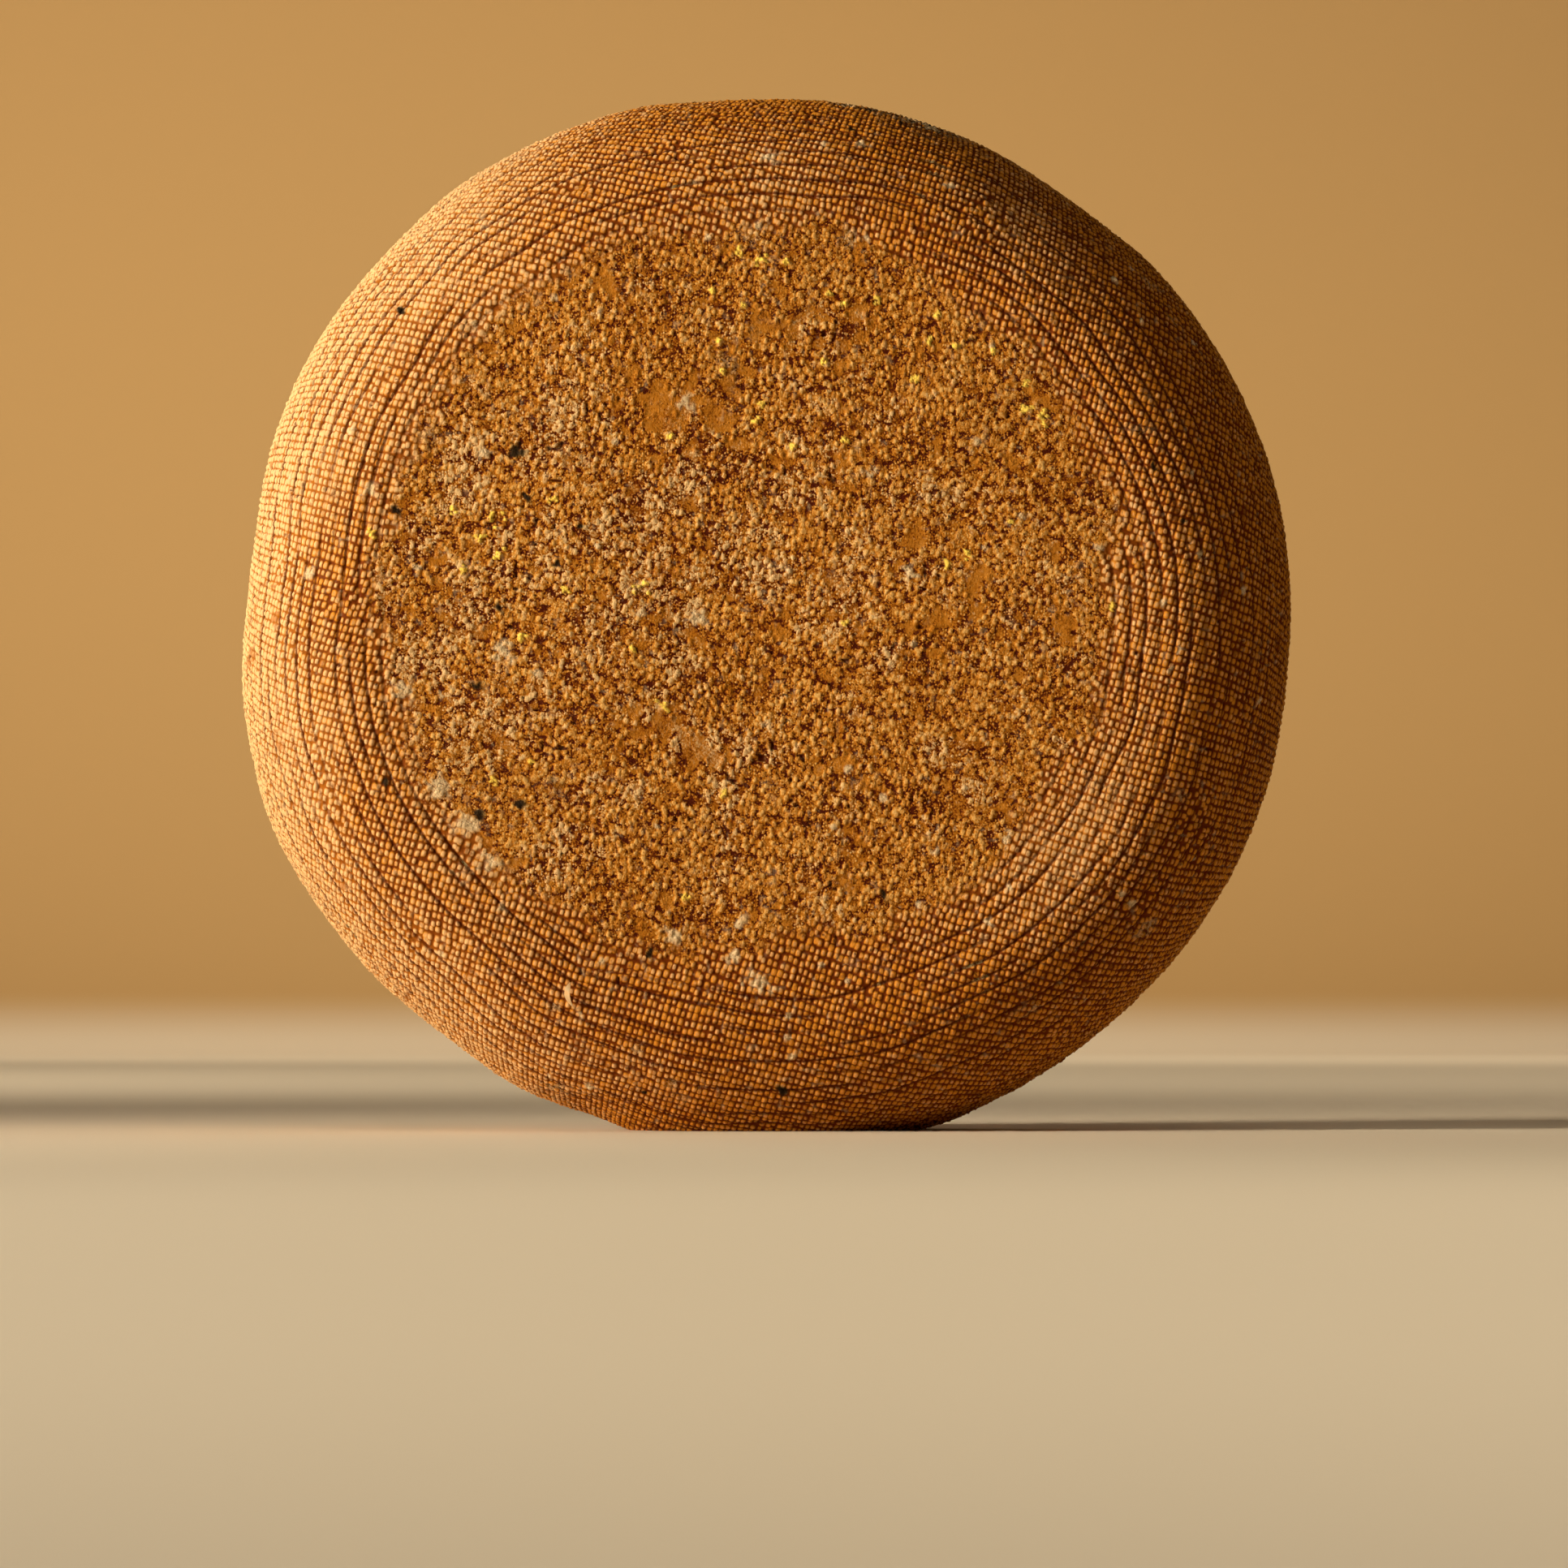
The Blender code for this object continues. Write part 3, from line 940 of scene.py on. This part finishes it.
def dry_sliver(colours):
    """Sliver of rind that has dried through: straw, with duller parts."""
    material, tree, shader = new_material("dry_sliver")
    place = add(tree, "ShaderNodeTexCoord").outputs["Object"]
    # Mottles 0.7 mm across
    keys = {"Vector": place, "Scale": to_a_metre(0.714), "Detail": 3.0}
    mottle = add(tree, "ShaderNodeTexNoise", inputs=keys).outputs[0]
    share = add(tree, "ShaderNodeMapRange", inputs={"Value": mottle, 1: 0.38, 2: 0.62}).outputs[0]
    tone = add(tree, "ShaderNodeMix", {"data_type": "RGBA"}, {0: share, 6: colours.straw, 7: colours.white})
    tree.links.new(tone.outputs[2], shader.inputs["Base Color"])
    bump = add(tree, "ShaderNodeBump", inputs={"Strength": 0.6, "Distance": 0.0001, "Height": mottle})
    tree.links.new(bump.outputs[0], shader.inputs["Normal"])
    shader.inputs["Roughness"].default_value = 0.75
    shader.inputs["Specular IOR Level"].default_value = 0.2
    return material


def studio_paper(floor, wall):
    """Roll of matt paper, pale on the floor and toned as it rises behind."""
    material, tree, shader = new_material("studio_paper")
    place = add(tree, "ShaderNodeTexCoord").outputs["Object"]
    up = add(tree, "ShaderNodeSeparateXYZ", inputs={0: place}).outputs["Z"]
    keys = {"Value": up, 1: 0.0, 2: 0.03, 3: 0.0, 4: 1.0}
    share = add(tree, "ShaderNodeMapRange", {"interpolation_type": "SMOOTHSTEP"}, keys).outputs[0]
    tone = add(tree, "ShaderNodeMix", {"data_type": "RGBA"}, {0: share, 6: floor, 7: wall}).outputs[2]
    tree.links.new(tone, shader.inputs["Base Color"])
    shader.inputs["Roughness"].default_value = 0.9
    shader.inputs["Specular IOR Level"].default_value = 0.2
    return material


# Studio


class CheeseStudio(PropertyGroup):
    """Floor, light and camera."""

    floor_tone: colour_setting("Floor", "#ecdcbe", "Paper on the floor")
    wall_tone: colour_setting("Backdrop", "#c59f66", "Paper behind the wheel")
    key_watts: power_setting("Key light", 0.93, "Power of the key light")
    fill_watts: power_setting("Fill light", 0.1, "Power of the fill light")
    back_watts: power_setting("Back light", 3.0, "Power behind the wheel")
    floor_watts: power_setting("Floor light", 4.2, "Power over the floor")
    far_watts: power_setting("Far floor light", 3.4, "Power over the floor behind the wheel")
    backdrop_watts: power_setting("Backdrop light", 12.2, "Power of the backdrop's light")
    camera_distance: length_setting("Camera distance", 1.5, "From the lens to the wheel's middle plane")
    camera_height: length_setting("Camera height", 0.025, "Lens over the floor")
    picture_scale: FloatProperty(
        name="Picture scale", default=6425.0, description="Pixels of the picture to a metre at the wheel"
    )


def area_light(name, place, target, size, watts, colour, spread=180):
    """A soft rectangular light that faces a target and shines within this many degrees."""
    light = bpy.data.lights.new(name, "AREA")
    light.shape = "RECTANGLE"
    light.size, light.size_y = size
    light.energy = watts
    light.spread = math.radians(spread)
    light.color = linear(colour)[:3]
    lamp = bpy.data.objects.new(name, light)
    bpy.context.scene.collection.objects.link(lamp)
    lamp.location = place
    lamp.rotation_euler = (Vector(target) - Vector(place)).to_track_quat("-Z", "Y").to_euler()


def sweep(studio):
    """Floor and backdrop in one round sheet, so that every side has the same paper behind it.

    Its section is a floor line, a quarter of a circle and an upright wall line, turned about the
    upright axis.
    """
    bend = np.linspace(0, math.pi / 2, BEND_STEPS + 1)
    radius = np.concatenate([FLOOR_RADIUS + BEND_RADIUS * np.sin(bend), [FLOOR_RADIUS + BEND_RADIUS]])
    height = np.concatenate([BEND_RADIUS * (1 - np.cos(bend)), [WALL_HEIGHT]])
    turn = np.arange(SWEEP_STEPS) * 2 * math.pi / SWEEP_STEPS
    upright = np.outer(height, np.ones(SWEEP_STEPS))
    points = np.stack([np.outer(radius, np.cos(turn)), np.outer(radius, np.sin(turn)), upright], -1)
    number = np.arange(len(radius) * SWEEP_STEPS).reshape(len(radius), SWEEP_STEPS)
    beside = np.roll(number, -1, 1)
    wall = np.stack([number[:-1], beside[:-1], beside[1:], number[1:]], -1)[:, :, ::-1].reshape(-1, 4)
    middle = np.stack([number[0], beside[0], np.full(SWEEP_STEPS, number.size)], -1)
    mesh = bpy.data.meshes.new("floor")
    everything = np.concatenate([points.reshape(-1, 3), np.zeros((1, 3))])
    mesh.from_pydata(everything, [], wall.tolist() + middle.tolist())
    mesh.shade_smooth()
    mesh.materials.append(studio_paper(studio.floor_tone, studio.wall_tone))
    floor = bpy.data.objects.new("floor", mesh)
    bpy.context.scene.collection.objects.link(floor)


def photo_camera(studio, sizes):
    """A long lens near the floor, tilted up until the wheel stands where the picture has it."""
    scene = bpy.context.scene
    lens_pixels = studio.picture_scale * studio.camera_distance
    camera = bpy.data.objects.new("camera", bpy.data.cameras.new("camera"))
    scene.collection.objects.link(camera)
    scene.camera = camera
    camera.data.sensor_width = SENSOR
    camera.data.lens = lens_pixels / PICTURE * SENSOR
    camera.data.clip_end = 20.0
    up = math.atan((sizes.height - studio.camera_height) / studio.camera_distance)
    tilt = up - math.atan((PICTURE / 2 - WHEEL_AT[1]) / lens_pixels)
    turn = math.atan((PICTURE / 2 - WHEEL_AT[0]) / lens_pixels)
    camera.location = (0.0, -studio.camera_distance, studio.camera_height)
    camera.rotation_euler = (math.pi / 2 + tilt, 0.0, -turn)


# Operators


class CHEESE_OT_rim_rind(Operator):
    """Build the rind of the rim, in eight pieces round it"""

    bl_idname = "cheese.rim_rind"
    bl_label = "Rim rind"

    def execute(self, context):
        scene = context.scene
        section = Section(scene.cheese_sizes)
        material = washed_rind(scene.cheese_colours)
        band = rim_band(section, scene.cheese_relief, 0, RIM_STEPS)
        width = STEPS_ROUND // RIM_SECTORS
        for number in range(RIM_SECTORS):
            columns = slice(number * width, (number + 1) * width + 1)
            grid_piece(f"rim_rind_{number + 1}", *cut(band, slice(None), columns), material)
        return {"FINISHED"}


class CHEESE_OT_face_rind(Operator):
    """Build the rind of both faces, each in four quarters"""

    bl_idname = "cheese.face_rind"
    bl_label = "Face rind"

    def execute(self, context):
        scene = context.scene
        section = Section(scene.cheese_sizes)
        material = washed_rind(scene.cheese_colours)
        half = FACE_STEPS // 2
        for side, back in (("front", False), ("back", True)):
            disc = face_disc(section, scene.cheese_relief, back)
            for number, (row, column) in enumerate(((0, 0), (0, half), (half, 0), (half, half))):
                part = cut(disc, slice(row, row + half + 1), slice(column, column + half + 1))
                if not back:
                    part = mirrored(part)
                grid_piece(f"{side}_rind_{number + 1}", *part, material)
        return {"FINISHED"}


def mirrored(part):
    """The same grid with its columns in the other order, which turns its faces over."""
    points, normals, inwards, about = part
    return points[:, ::-1], normals[:, ::-1], inwards[:, ::-1], {key: v[:, ::-1] for key, v in about.items()}


class CHEESE_OT_slivers(Operator):
    """Lay the loose slivers of rind on the wheel"""

    bl_idname = "cheese.slivers"
    bl_label = "Slivers"

    def execute(self, context):
        section = Section(context.scene.cheese_sizes)
        strips = [sliver(section, about) for about in SLIVERS]
        strip_piece("rind_slivers", strips, dry_sliver(context.scene.cheese_colours))
        return {"FINISHED"}


class CHEESE_OT_stage(Operator):
    """Set up the floor, the lights and the camera"""

    bl_idname = "cheese.stage"
    bl_label = "Studio"

    def execute(self, context):
        scene = context.scene
        studio, sizes = scene.cheese_studio, scene.cheese_sizes
        sweep(studio)
        middle = (0.0, 0.0, sizes.height)
        area_light(
            "key", (-1.02, -0.43, 0.37), (-0.01, 0.02, 0.12), (0.34, 0.34), studio.key_watts, WARM_LAMP, 30
        )
        area_light("fill", (0.9, -1.6, 0.9), middle, (1.2, 1.2), studio.fill_watts, SOFT_LAMP)
        area_light("back", (-0.8, 0.95, 0.55), middle, (0.5, 0.5), studio.back_watts, WARM_LAMP)
        area_light(
            "floor_light", (-0.1, -0.75, 0.8), (-0.1, -0.75, 0), (1.6, 1.2), studio.floor_watts, PALE_LAMP, 64
        )
        area_light("far_floor_light", (0, 1.2, 0.8), (0, 1.2, 0), (1.8, 1.5), studio.far_watts, PALE_LAMP, 64)
        area_light(
            "backdrop", (-0.5, 1.5, 1.8), (-0.1, 2.9, 0.36), (1.8, 0.4), studio.backdrop_watts, WARM_LAMP, 90
        )
        photo_camera(studio, sizes)
        world = bpy.data.worlds.new("studio")
        scene.world = world
        world.use_nodes = True
        world.node_tree.nodes["Background"].inputs["Color"].default_value = linear("#f2e8da")
        world.node_tree.nodes["Background"].inputs["Strength"].default_value = 0.01
        scene.view_settings.view_transform = "Standard"
        return {"FINISHED"}


class VIEW3D_PT_cheese(Panel):
    """Lists what can be built"""

    bl_label = "Cheese Wheel"
    bl_idname = "VIEW3D_PT_cheese"
    bl_space_type = "VIEW_3D"
    bl_region_type = "UI"
    bl_category = "Cheese"

    def draw(self, context):
        for group in SETTINGS:
            box = self.layout.box()
            for key in getattr(context.scene, group).__annotations__:
                box.prop(getattr(context.scene, group), key)
        for operator in OPERATORS:
            self.layout.operator(operator.bl_idname)


SETTINGS = {
    "cheese_sizes": CheeseSizes,
    "cheese_relief": CheeseRelief,
    "cheese_colours": CheeseColours,
    "cheese_studio": CheeseStudio,
}
OPERATORS = (CHEESE_OT_rim_rind, CHEESE_OT_face_rind, CHEESE_OT_slivers, CHEESE_OT_stage)


def register():
    for cls in (*SETTINGS.values(), *OPERATORS, VIEW3D_PT_cheese):
        bpy.utils.register_class(cls)
    for key, cls in SETTINGS.items():
        setattr(bpy.types.Scene, key, PointerProperty(type=cls))


def unregister():
    for key in SETTINGS:
        delattr(bpy.types.Scene, key)
    for cls in reversed((*SETTINGS.values(), *OPERATORS, VIEW3D_PT_cheese)):
        bpy.utils.unregister_class(cls)


def main():
    register()
    bpy.ops.cheese.rim_rind()
    bpy.ops.cheese.face_rind()
    bpy.ops.cheese.slivers()
    bpy.ops.cheese.stage()


if __name__ == "__main__":
    main()
